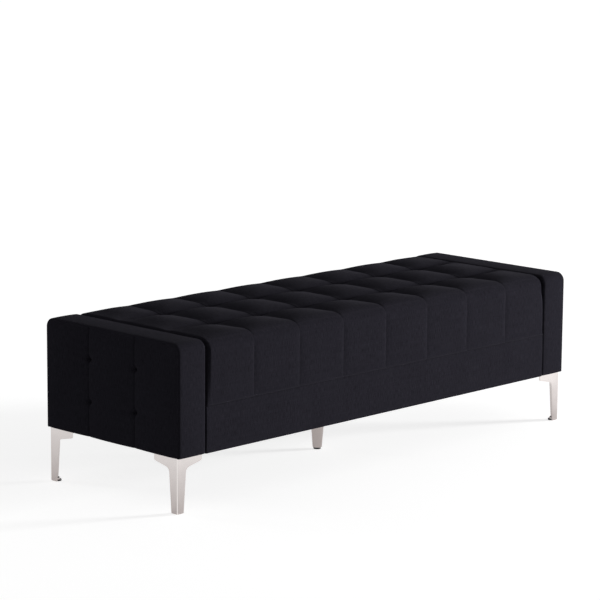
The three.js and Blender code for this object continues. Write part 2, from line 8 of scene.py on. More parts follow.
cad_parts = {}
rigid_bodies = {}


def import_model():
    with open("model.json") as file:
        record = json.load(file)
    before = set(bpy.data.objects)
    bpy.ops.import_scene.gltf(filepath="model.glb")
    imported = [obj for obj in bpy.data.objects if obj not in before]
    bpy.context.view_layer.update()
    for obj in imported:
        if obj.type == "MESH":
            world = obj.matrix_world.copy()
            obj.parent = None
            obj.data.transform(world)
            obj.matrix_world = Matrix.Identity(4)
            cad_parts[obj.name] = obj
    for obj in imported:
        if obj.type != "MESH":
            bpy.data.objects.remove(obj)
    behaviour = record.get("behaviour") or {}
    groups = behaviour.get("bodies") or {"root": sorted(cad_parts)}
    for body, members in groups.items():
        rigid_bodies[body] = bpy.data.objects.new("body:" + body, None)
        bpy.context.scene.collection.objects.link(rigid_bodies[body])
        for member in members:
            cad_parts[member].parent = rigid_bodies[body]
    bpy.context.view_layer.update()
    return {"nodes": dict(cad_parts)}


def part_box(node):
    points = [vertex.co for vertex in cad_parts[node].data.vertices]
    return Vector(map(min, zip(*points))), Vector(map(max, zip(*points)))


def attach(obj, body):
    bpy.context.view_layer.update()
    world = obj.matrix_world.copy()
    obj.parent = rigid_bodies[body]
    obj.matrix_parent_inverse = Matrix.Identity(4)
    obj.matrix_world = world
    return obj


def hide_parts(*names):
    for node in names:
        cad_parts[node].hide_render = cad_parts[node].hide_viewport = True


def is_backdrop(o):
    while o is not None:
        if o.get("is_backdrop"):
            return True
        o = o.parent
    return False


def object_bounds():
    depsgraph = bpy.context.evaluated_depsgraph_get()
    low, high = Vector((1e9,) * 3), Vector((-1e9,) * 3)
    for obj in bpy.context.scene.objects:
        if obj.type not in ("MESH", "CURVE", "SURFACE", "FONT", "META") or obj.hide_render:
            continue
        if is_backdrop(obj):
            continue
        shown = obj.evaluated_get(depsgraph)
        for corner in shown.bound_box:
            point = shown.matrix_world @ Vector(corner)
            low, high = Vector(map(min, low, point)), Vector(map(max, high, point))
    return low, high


for thing in list(bpy.data.objects):
    bpy.data.objects.remove(thing)
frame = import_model()
scene = bpy.context.scene
scene.view_settings.view_transform = "Standard"
print("frame loaded,", len(frame["nodes"]), "solids")


# shader helpers

def wire(tree, source, target):
    tree.links.new(source, target)


def mapped(tree, source, scale=(1, 1, 1)):
    # texture coordinates stretched by scale, in units per metre
    where = tree.nodes.new("ShaderNodeTexCoord")
    fit = tree.nodes.new("ShaderNodeMapping")
    fit.inputs["Scale"].default_value = scale
    wire(tree, where.outputs[source], fit.inputs["Vector"])
    return fit.outputs["Vector"]


def sums(tree, operation, a, b):
    # two values, or a value and a number, joined by one operation
    node = tree.nodes.new("ShaderNodeMath")
    node.operation = operation
    for value, socket in ((a, node.inputs[0]), (b, node.inputs[1])):
        if isinstance(value, (int, float)):
            socket.default_value = value
        else:
            wire(tree, value, socket)
    return node.outputs[0]


def weighted(tree, *parts):
    # sum of the values, each times its weight
    scaled = [sums(tree, "MULTIPLY", value, weight) for value, weight in parts]
    total = scaled[0]
    for more in scaled[1:]:
        total = sums(tree, "ADD", total, more)
    return total


def spread(tree, value, low, high, fromLow=0.3, fromHigh=0.7):
    # straight line from low to high as the value goes from fromLow to fromHigh, level outside
    node = tree.nodes.new("ShaderNodeMapRange")
    node.inputs["From Min"].default_value = fromLow
    node.inputs["From Max"].default_value = fromHigh
    node.inputs["To Min"].default_value = low
    node.inputs["To Max"].default_value = high
    wire(tree, value, node.inputs["Value"])
    return node.outputs["Result"]


def noise(tree, source, scale, detail=2, rough=0.5):
    # smooth random value, about scale swells to the metre along each axis
    node = tree.nodes.new("ShaderNodeTexNoise")
    node.inputs["Scale"].default_value = 1
    node.inputs["Detail"].default_value = detail
    node.inputs["Roughness"].default_value = rough
    wire(tree, mapped(tree, source, scale), node.inputs["Vector"])
    return node.outputs["Fac"]


def bands(tree, source, axis, period):
    # sine along one axis, from zero to one and back in each period of metres; the node's own is 2 pi / 20
    node = tree.nodes.new("ShaderNodeTexWave")
    node.wave_type = "BANDS"
    node.bands_direction = axis
    node.inputs["Scale"].default_value = 2 * math.pi / 20 / period
    wire(tree, mapped(tree, source), node.inputs["Vector"])
    return node.outputs["Fac"]


def cells(tree, scale):
    # distance to the nearest of scattered points, which number about scale to the metre
    node = tree.nodes.new("ShaderNodeTexVoronoi")
    node.inputs["Scale"].default_value = 1
    wire(tree, mapped(tree, "Object", (scale,) * 3), node.inputs["Vector"])
    return node.outputs["Distance"]


def tint(tree, value, stops):
    # straight blend of colours between stops
    node = tree.nodes.new("ShaderNodeValToRGB")
    ramp = node.color_ramp
    while len(ramp.elements) < len(stops):
        ramp.elements.new(0.5)
    for element, (at, colour) in zip(ramp.elements, stops):
        element.position = at
        element.color = (*colour, 1)
    wire(tree, value, node.inputs["Fac"])
    return node.outputs["Color"]


def bumped(tree, shader, height, strength, distance):
    # height tilts the shading as a relief of the given distance would
    node = tree.nodes.new("ShaderNodeBump")
    node.inputs["Strength"].default_value = strength
    node.inputs["Distance"].default_value = distance
    wire(tree, height, node.inputs["Height"])
    wire(tree, node.outputs["Normal"], shader.inputs["Normal"])


def paintedHighlight(tree, colour, other):
    # painted highlight: colour gives way to the lighter other colour as the piece's per-point highlight
    # attribute goes from zero to one
    painted_highlight = tree.nodes.new("ShaderNodeAttribute")
    painted_highlight.attribute_name = "painted_highlight"
    mix = tree.nodes.new("ShaderNodeMix")
    mix.data_type = "RGBA"
    wire(tree, painted_highlight.outputs["Fac"], mix.inputs["Factor"])
    wire(tree, colour, mix.inputs["A"])
    mix.inputs["B"].default_value = (*other, 1)
    return mix.outputs["Result"]


def showDirectly(tree, out, bounced, direct):
    # direct for rays from the camera, off a mirror or through glass, and bounced for all other light
    light = tree.nodes.new("ShaderNodeLightPath")
    seen = sums(tree, "MAXIMUM", light.outputs["Is Camera Ray"], light.outputs["Is Glossy Ray"])
    seen = sums(tree, "MAXIMUM", seen, light.outputs["Is Transmission Ray"])
    mix = tree.nodes.new("ShaderNodeMixShader")
    wire(tree, seen, mix.inputs[0])
    wire(tree, bounced.outputs[0], mix.inputs[1])
    wire(tree, direct.outputs[0], mix.inputs[2])
    wire(tree, mix.outputs[0], out.inputs["Surface"])


# camera, floor and light

cameraLook = {
    "place": (-5.2956, -5.0594, 1.7929),
    "yaw": 45.891, "pitch": 10.481, "roll": 0.441,  # degrees
    "lens": 155.549, "sensor": 36,
    "clipEnd": 200,
}


def makeCamera(look):
    # level view along yaw, tipped down by pitch and rolled about its own axis
    data = bpy.data.cameras.new("camera")
    data.sensor_width = look["sensor"]
    data.lens = look["lens"]
    data.clip_end = look["clipEnd"]
    camera = bpy.data.objects.new("camera", data)
    scene.collection.objects.link(camera)
    aim = Euler((math.radians(90 - look["pitch"]), 0, -math.radians(look["yaw"]))).to_matrix()
    aim = aim @ Matrix.Rotation(math.radians(look["roll"]), 3, "Z")
    camera.matrix_world = Matrix.Translation(look["place"]) @ aim.to_4x4()
    scene.camera = camera


stageLook = {
    "ambient": 0.235,  # light from all round
    "floorGlow": (0.74, 0.88), "glowReach": (3, 12),  # near and far, in metres from the middle
    "floorShade": 0.6, "floorBounce": 0.8,
    "floorHalf": 60,
    "aim": (0, 0, 0.3),
    "lamps": {  # place, size across and power
        "key": ((8.7, -5.4, 1.46), 2.4, 1640),
        "left": ((-3.9, 7.4, 1.5), 2.4, 115),
    },
}


def makeStage(look):
    # the floor shows its shade plus a glow that grows with distance, where the lamps no longer reach
    world = bpy.data.worlds.new("studio")
    scene.world = world
    world.use_nodes = True
    tree = world.node_tree
    tree.nodes.clear()
    dim = tree.nodes.new("ShaderNodeBackground")
    dim.inputs["Strength"].default_value = look["ambient"]
    white = tree.nodes.new("ShaderNodeBackground")
    for sky in (dim, white):
        sky.inputs["Color"].default_value = (1, 1, 1, 1)
    showDirectly(tree, tree.nodes.new("ShaderNodeOutputWorld"), dim, white)

    paint = bpy.data.materials.new("pale_floor")
    paint.use_nodes = True
    tree = paint.node_tree
    tree.nodes.clear()
    plain = tree.nodes.new("ShaderNodeBsdfDiffuse")
    plain.inputs["Color"].default_value = (look["floorBounce"],) * 3 + (1,)
    shade = tree.nodes.new("ShaderNodeBsdfDiffuse")
    shade.inputs["Color"].default_value = (look["floorShade"],) * 3 + (1,)
    away = tree.nodes.new("ShaderNodeVectorMath")
    away.operation = "LENGTH"
    wire(tree, mapped(tree, "Object"), away.inputs[0])
    glow = tree.nodes.new("ShaderNodeEmission")
    strength = spread(tree, away.outputs["Value"], *look["floorGlow"], *look["glowReach"])
    wire(tree, strength, glow.inputs["Strength"])
    both = tree.nodes.new("ShaderNodeAddShader")
    wire(tree, shade.outputs[0], both.inputs[0])
    wire(tree, glow.outputs[0], both.inputs[1])
    showDirectly(tree, tree.nodes.new("ShaderNodeOutputMaterial"), plain, both)

    half = look["floorHalf"]
    corners = [(-half, -half, 0), (half, -half, 0), (half, half, 0), (-half, half, 0)]
    mesh = bpy.data.meshes.new("floor")
    mesh.from_pydata(corners, [], [(0, 1, 2, 3)])
    mesh.materials.append(paint)
    floor = bpy.data.objects.new("floor", mesh)
    scene.collection.objects.link(floor)
    floor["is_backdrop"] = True

    for name, (place, size, power) in look["lamps"].items():
        data = bpy.data.lights.new(name, "AREA")
        data.shape = "DISK"
        data.size = size
        data.energy = power
        lamp = bpy.data.objects.new(name, data)
        scene.collection.objects.link(lamp)
        lamp.location = place
        lamp.rotation_euler = (Vector(look["aim"]) - Vector(place)).to_track_quat("-Z", "Y").to_euler()


makeCamera(cameraLook)
makeStage(stageLook)
print("camera, floor and light set")


# finishes: each look gives noise per metre, colours, and bump as strength and height in metres

def newFinish(name):
    finish = bpy.data.materials.new(name)
    finish.use_nodes = True
    tree = finish.node_tree
    shader = tree.nodes["Principled BSDF"]
    return finish, tree, shader


fabricLook = {
    "dark": (0.0082, 0.0077, 0.0104), "light": (0.0250, 0.0237, 0.0316),
    "tone": (0.36, 0.66),   # yarn values that show dark and light
    "paintedHighlight": (0.040, 0.038, 0.048),  # painted highlight along seams, the lower bead and the top edge crease
    "thread": 0.0014,       # metres from thread to thread
    "yarn": {  # noise across and along the cloth, its detail and roughness, and its weight in the tone
        "slub": ((640, 60, 1), 3, 0.6, 0.48),
        "fleck": ((900, 380, 1), 2, 0.5, 0.24),
        "streak": ((520, 7, 1), 2, 0.5, 0.12),
        "bar": ((6, 210, 1), 2, 0.5, 0.06),
        "cloud": ((9, 6, 1), 3, 0.5, 0.06),
    },
    "crossing": 0.06,
    "rough": (0.88, 0.98),
    "sheen": 0.03, "sheenRough": 0.45, "sheenTint": (0.62, 0.60, 0.70, 1),
    "relief": (0.55, 0.8),  # weights of crossing and slub
    "bump": (0.35, 0.0005),
}


def makeFabric(look):
    # crossed threads are the product of two sine bands, and the tone is a weighted sum of stretched noises
    finish, tree, shader = newFinish("charcoal_weave")
    warp, weft = (spread(tree, bands(tree, "UV", axis, 2 * look["thread"]), -1, 1, 0, 1) for axis in "XY")
    crossing = spread(tree, sums(tree, "MULTIPLY", warp, weft), 0, 1, -1, 1)
    yarn = {name: (noise(tree, "UV", *kind), weight) for name, (*kind, weight) in look["yarn"].items()}
    slub = yarn["slub"][0]
    tone = weighted(tree, *yarn.values(), (crossing, look["crossing"]))
    cloth = tint(tree, tone, [*zip(look["tone"], (look["dark"], look["light"]))])
    # painted highlight: the cloth is painted lighter where its highlight attribute is set
    wire(tree, paintedHighlight(tree, cloth, look["paintedHighlight"]), shader.inputs["Base Color"])
    wire(tree, spread(tree, slub, *look["rough"]), shader.inputs["Roughness"])
    shader.inputs["Specular IOR Level"].default_value = 0
    shader.inputs["Sheen Weight"].default_value = look["sheen"]
    shader.inputs["Sheen Roughness"].default_value = look["sheenRough"]
    shader.inputs["Sheen Tint"].default_value = look["sheenTint"]
    bumped(tree, shader, weighted(tree, *zip((crossing, slub), look["relief"])), *look["bump"])
    return finish


metalLook = {
    "colours": {  # painted shade near the floor, painted light at the top, and a painted highlight on the outer corner
        "satin_metal": ((0.45, 0.405, 0.393), (0.71, 0.665, 0.65), (0.77, 0.73, 0.71)),
        # darker copy for the centre leg: painted shade for its place under the seat
        "shaded_satin_metal": ((0.41, 0.365, 0.35), (0.45, 0.40, 0.385), (0.6, 0.55, 0.53)),
    },
    "brush": ((900, 900, 14), 3, 0.6), "haze": ((22, 22, 22), 3, 0.5),
    "heights": (0.01, 0.14),
    "tone": (0.75, 0.25), "ends": (0.1, 0.9),  # weights of height and haze, values of painted shade and painted light
    "rough": 0.105, "roughParts": (0.12, 0.06),  # plain part, and weights of brushing and haze
    "bump": (0.06, 0.0002),
}


def makeMetal(look, name):
    # satin metal: fine upright brushing in roughness and bump, painted shade darker towards the floor and
    # painted light at the top, and a painted highlight on the rounded outer corner
    finish, tree, shader = newFinish(name)
    shadedFoot, litTop, highlightColour = look["colours"][name]
    brush, haze = noise(tree, "Object", *look["brush"]), noise(tree, "Object", *look["haze"])
    place = tree.nodes.new("ShaderNodeSeparateXYZ")
    wire(tree, mapped(tree, "Object"), place.inputs[0])
    # painted shade and light: the tone darkens towards the floor and lightens up the leg
    rise = spread(tree, place.outputs["Z"], 0, 1, *look["heights"])
    tone = weighted(tree, *zip((rise, haze), look["tone"]))
    tone = tint(tree, tone, [*zip(look["ends"], (shadedFoot, litTop))])
    wire(tree, paintedHighlight(tree, tone, highlightColour), shader.inputs["Base Color"])
    shader.inputs["Metallic"].default_value = 1
    rough = sums(tree, "ADD", weighted(tree, *zip((brush, haze), look["roughParts"])), look["rough"])
    wire(tree, rough, shader.inputs["Roughness"])
    bumped(tree, shader, brush, *look["bump"])
    return finish


zincLook = {
    "cells": 420, "stops": [(0.0, (0.50, 0.51, 0.53)), (0.9, (0.62, 0.63, 0.64))],
    "rough": (0.28, 0.46, 0, 0.9),
    "grain": (1500, 1500, 1500), "bump": (0.08, 0.0002),
}


def makeZinc(look):
    # zinc plate: patchy cells of slightly different grey
    finish, tree, shader = newFinish("zinc_plate")
    patch = cells(tree, look["cells"])
    wire(tree, tint(tree, patch, look["stops"]), shader.inputs["Base Color"])
    shader.inputs["Metallic"].default_value = 1
    wire(tree, spread(tree, patch, *look["rough"]), shader.inputs["Roughness"])
    bumped(tree, shader, noise(tree, "Object", look["grain"]), *look["bump"])
    return finish


plasticLook = {
    "grain": (2600, 2600, 2600), "stops": [(0.3, (0.014, 0.014, 0.015)), (0.7, (0.021, 0.021, 0.022))],
    "rough": (0.42, 0.58), "bump": (0.15, 0.0002),
}


def makePlastic(look):
    # moulded plastic with a fine spark-eroded grain
    finish, tree, shader = newFinish("black_plastic")
    grain = noise(tree, "Object", look["grain"])
    wire(tree, tint(tree, grain, look["stops"]), shader.inputs["Base Color"])
    wire(tree, spread(tree, grain, *look["rough"]), shader.inputs["Roughness"])
    bumped(tree, shader, grain, *look["bump"])
    return finish


dustClothLook = {
    "fibre": ((1400, 500, 1), 4, 0.7), "mat": ((60, 60, 1), 3, 0.6), "weights": (0.6, 0.4),
    "stops": [(0.3, (0.006, 0.006, 0.007)), (0.7, (0.018, 0.018, 0.019))],
    "rough": 0.95, "shine": 0.1, "bump": (0.4, 0.0004),
}


def makeDustCloth(look):
    # black non-woven: tangled fibres from noise at two scales
    finish, tree, shader = newFinish("dust_cloth")
    fibre, mat = noise(tree, "UV", *look["fibre"]), noise(tree, "UV", *look["mat"])
    both = weighted(tree, *zip((fibre, mat), look["weights"]))
    wire(tree, tint(tree, both, look["stops"]), shader.inputs["Base Color"])
    shader.inputs["Roughness"].default_value = look["rough"]
    shader.inputs["Specular IOR Level"].default_value = look["shine"]
    bumped(tree, shader, both, *look["bump"])
    return finish


foamLook = {
    "cells": 900, "stops": [(0.0, (0.62, 0.54, 0.38)), (0.7, (0.80, 0.73, 0.56))], "bump": (0.5, 0.0006),
}


def makeFoam(look):
    # open cells: rounded pits between cell walls
    finish, tree, shader = newFinish("cream_foam")
    pit = cells(tree, look["cells"])
    wire(tree, tint(tree, pit, look["stops"]), shader.inputs["Base Color"])
    shader.inputs["Roughness"].default_value = 1
    bumped(tree, shader, pit, *look["bump"])
    return finish


plywoodLook = {
    "across": 150, "along": 9, "grain": (5, 0.65),
    "pores": 6,             # how much finer than the grain
    "ply": 0.0048,          # metres from band to band
    "weights": (0.62, 0.2, 0.18),  # grain, plies and pores
    "stops": [(0.28, (0.30, 0.175, 0.075)), (0.5, (0.47, 0.31, 0.15)), (0.75, (0.62, 0.45, 0.25))],
    "rough": (0.62, 0.8), "bump": (0.2, 0.0004),
}


def makePlywood(look, thin, long):
    # veneer grain stretched along the board, and plies as bands across its thickness
    finish, tree, shader = newFinish("plywood_" + "xyz"[thin] + "xyz"[long])
    scale = [look["across"]] * 3
    scale[long] = look["along"]
    grain = noise(tree, "Object", scale, *look["grain"])
    pores = noise(tree, "Object", [look["pores"] * s for s in scale])
    plies = bands(tree, "Object", "XYZ"[thin], look["ply"])
    value = weighted(tree, *zip((grain, plies, pores), look["weights"]))
    wire(tree, tint(tree, value, look["stops"]), shader.inputs["Base Color"])
    wire(tree, spread(tree, grain, *look["rough"]), shader.inputs["Roughness"])
    bumped(tree, shader, value, *look["bump"])
    return finish


fabric = makeFabric(fabricLook)
legMetal = makeMetal(metalLook, "satin_metal")
# the centre leg gets a darker copy of the satin metal, painted shade
centreShadedMetal = makeMetal(metalLook, "shaded_satin_metal")
zinc = makeZinc(zincLook)
plastic = makePlastic(plasticLook)
dustCloth = makeDustCloth(dustClothLook)
foam = makeFoam(foamLook)
print("finishes made")


# surfaces: everything below is in millimetres until it becomes a mesh

def boxOf(node):
    # lower and upper corner of a solid's box
    low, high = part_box(node)
    return np.array(low) * 1000, np.array(high) * 1000


def makePiece(name, points, quads, caps, finish, slot, replaced, uv=None, sharp=None, painted_highlight=None):
    # quads come first, then each cap as one many-sided face, and uv is a pair for each corner in that order;
    # edges that turn by more than sharp degrees stay crisp
    mesh = bpy.data.meshes.new(name)
    corners = np.concatenate([quads.ravel(), *caps]).astype(np.int32)
    sizes = np.concatenate([np.full(len(quads), 4), [len(cap) for cap in caps]]).astype(np.int32)
    mesh.vertices.add(len(points))
    mesh.vertices.foreach_set("co", (points / 1000).astype(np.float32).ravel())
    mesh.loops.add(len(corners))
    mesh.loops.foreach_set("vertex_index", corners)
    mesh.polygons.add(len(sizes))
    mesh.polygons.foreach_set("loop_start", (np.cumsum(sizes) - sizes).astype(np.int32))
    mesh.update(calc_edges=True)
    if uv is not None:
        layer = mesh.uv_layers.new(name="weave")
        layer.uv.foreach_set("vector", (uv / 1000).astype(np.float32).ravel())
    # the highlight attribute marks where a finish is painted lighter, a painted highlight
    if painted_highlight is not None:
        mesh.attributes.new("painted_highlight", "FLOAT", "POINT").data.foreach_set("value", painted_highlight.astype(np.float32))
    mesh.shade_smooth()
    if sharp:
        mesh.set_sharp_from_angle(angle=math.radians(sharp))
    mesh.materials.append(finish)
    piece = bpy.data.objects.new(name, mesh)
    scene.collection.objects.link(piece)
    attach(piece, "root")
    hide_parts(*replaced)
    return piece


def gridQuads(rows, flip=False):
    # four corners of every cell of a grid of point numbers
    loop = np.stack([rows[:-1, :-1], rows[1:, :-1], rows[1:, 1:], rows[:-1, 1:]], -1).reshape(-1, 4)
    return loop[:, ::-1] if flip else loop


def boxNet(xs, ys, zs):
    # outer layer of a lattice of grid lines, open below and closed there by one flat cap
    shell = np.ones((len(xs), len(ys), len(zs)), bool)
    shell[1:-1, 1:-1, :-1] = False
    number = np.full(shell.shape, -1)
    number[shell] = np.arange(shell.sum())
    points = np.stack(np.meshgrid(xs, ys, zs, indexing="ij"), -1)[shell]
    sides = [
        (number[:, :, -1], False, (0, 1)),
        (number[:, 0, :], False, (0, 2)), (number[:, -1, :], True, (0, 2)),
        (number[-1, :, :], False, (1, 2)), (number[0, :, :], True, (1, 2)),
    ]
    quads = [gridQuads(side, flip) for side, flip, axes in sides]
    rim = np.concatenate([number[:, 0, 0], number[-1, 1:, 0], number[-2::-1, -1, 0], number[0, -2:0:-1, 0]])
    cap = rim[::-1]
    uv = [points[q.ravel()][:, axes] for q, (side, flip, axes) in zip(quads, sides)]
    uv = np.concatenate([*uv, points[cap][:, (0, 1)]])
    return points, np.concatenate(quads), [cap], uv


def bay(start, end, count):
    # grid lines from start to end, drawn close together at both
    return start + (end - start) * (1 - np.cos(np.pi * np.arange(count) / count)) / 2


def lines(stops, counts):
    # one bay after the other, each with its own count
    return np.concatenate([bay(a, b, n) for a, b, n in zip(stops[:-1], stops[1:], counts)] + [stops[-1:]])


def rounding(half, radius, steps):
    # grid lines over a rounded edge at equal angles, from just past its start to its end
    return half - radius + radius * np.tan(np.pi / 4 * np.arange(1, steps + 1) / steps)


def framed(half, radius, steps, inner):
    # inner grid lines between the lines of two rounded edges, at plus and minus half
    edge = rounding(half, radius, steps)
    return np.concatenate([-edge[::-1], inner, edge])


def roundOff(points, low, high, radiusLow, radiusHigh):
    # a point goes to the core plus its direction from the core times the radii, which rounds every edge
    core = np.clip(points, low + radiusLow, high - radiusHigh)
    reach = np.where(points < core, radiusLow, radiusHigh)
    step = (points - core) / np.maximum(reach, 1e-6)
    facing = step / np.maximum(np.linalg.norm(step, axis=1, keepdims=True), 1e-9)
    return core + facing * reach, facing


def nearest(values, places):
    # distance from each value to the nearest of the places
    return np.abs(values[:, None] - np.asarray(places)).min(1)


def bell(distance, width):
    # e to the power of minus the square of distance over width
    return np.exp(-(distance / width) ** 2)


clothLook = {
    "frames": 20, "pressure": 4, "stiffness": 12, "bending": 0.6, "mass": 0.3, "quality": 5,
    "holdSteps": 10,        # kinds of hold between free and fixed
}


def swollen(points, quads, caps, held, look):
    # how far each point of a coarse cover moves as cloth under pressure, while its seams and edges are held
    mesh = bpy.data.meshes.new("cover")
    mesh.from_pydata(points / 1000, [], [*quads.tolist(), *(cap.tolist() for cap in caps)])
    cover = bpy.data.objects.new("cover", mesh)
    scene.collection.objects.link(cover)
    group = cover.vertex_groups.new(name="held")
    steps = look["holdSteps"]
    level = np.round(np.clip(held, 0, 1) * steps).astype(int)
    for step in range(1, steps + 1):
        group.add(np.flatnonzero(level == step).tolist(), step / steps, "REPLACE")
    cloth = cover.modifiers.new("swell", "CLOTH")
    settings = cloth.settings
    settings.vertex_group_mass = group.name
    settings.use_pressure = True
    settings.uniform_pressure_force = look["pressure"]
    settings.effector_weights.gravity = 0
    settings.tension_stiffness = settings.compression_stiffness = look["stiffness"]
    settings.bending_stiffness = look["bending"]
    settings.mass = look["mass"]
    settings.quality = look["quality"]
    cloth.point_cache.frame_start = 1
    cloth.point_cache.frame_end = look["frames"]
    for moment in range(1, look["frames"] + 1):
        scene.frame_set(moment)
    shaped = cover.evaluated_get(bpy.context.evaluated_depsgraph_get())
    after = np.empty(points.size, np.float32)
    shaped.data.vertices.foreach_get("co", after)
    scene.frame_set(1)
    bpy.data.objects.remove(cover)
    bpy.data.meshes.remove(mesh)
    return after.reshape(-1, 3) * 1000.0 - points


def carried(move, rough, fine):
    # values on the lines of a coarse box net, blended in straight proportion at the points of a fine one
    axes = [np.unique(rough[:, k]) for k in range(3)]
    table = np.zeros([len(a) for a in axes] + [3])
    table[tuple(np.searchsorted(a, rough[:, k]) for k, a in enumerate(axes))] = move
    cell = [np.clip(np.searchsorted(a, fine[:, k], "right") - 1, 0, len(a) - 2) for k, a in enumerate(axes)]
    part = [(fine[:, k] - a[c]) / (a[c + 1] - a[c]) for k, (a, c) in enumerate(zip(axes, cell))]
    total = np.zeros(fine.shape)
    for i, j, k in np.ndindex(2, 2, 2):
        weight = np.prod([p if up else 1 - p for p, up in zip(part, (i, j, k))], axis=0)
        total += weight[:, None] * table[cell[0] + i, cell[1] + j, cell[2] + k]
    return total


def capped(move, limit):
    # long moves bend off towards the limit
    length = np.linalg.norm(move, axis=1, keepdims=True)
    return move * limit * np.tanh(length / limit) / np.maximum(length, 1e-9)


# seat cushion

seatLook = {
    "columns": 8, "rowSpacing": 188,
    "round": (12, 46, 40), "roundSteps": 8,
    "puff": (8.8, 15), "fall": (2.2, 4.4),  # along and across the bench
    "meet": 1.2,            # how the two join at the nodes, 1 for their plain sum
    "uneven": 0.05, "unevenLength": (61, 47), "unevenStart": (1, 2),
    # level of the front and back edge, how much of the waves it keeps, and its width
    "edgeDrop": (2, 6), "edgeWave": (0.32, 0.03), "edgeReach": (150, 160),
    "endDrop": 7.5, "endReach": 115, "rimPower": 1.5,
    "crease": 1.8, "creaseWidth": 2,
    "pinch": 2.4, "pinchWidth": 7,
    "groove": 0.6, "grooveWidth": 1.8, "panelPuff": 0.7,
    # how round the upright corners are below the roll, left and right, and how that grows with height
    "cornerSoft": (0.5, 0.1), "cornerPower": (0.6, 6),
    "edgeCrease": 0.6, "edgeCreaseTilt": 45, "edgeCreaseAngle": 5,
    "taper": (4, -1),       # how far the left and right end draw in at half height
    "bead": 2.4, "beadRise": 2.6, "beadWidth": 2.2,
    "painted_highlight": (0.18, 0.05, 0.1),  # painted highlight on the bead, beside the grooves and on the edge crease
    # most that cloth pressure adds, how much lower the top starts, and how wide seams and foot are held
    "swellTop": 4, "swellSide": 1.1, "start": 2.5, "holdSeam": 5, "holdFoot": 25,
    "columnLines": 24, "rowLines": (22, 26, 22), "sideLines": 14, "sideStart": 14,
    "foot": (0, 0.7, 1.4, 2.2, 3, 3.9, 5, 6.5, 9),
}
seatRough = {"columnLines": 12, "rowLines": (10, 12, 10), "sideLines": 7, "foot": (0, 4, 9), "roundSteps": 3}


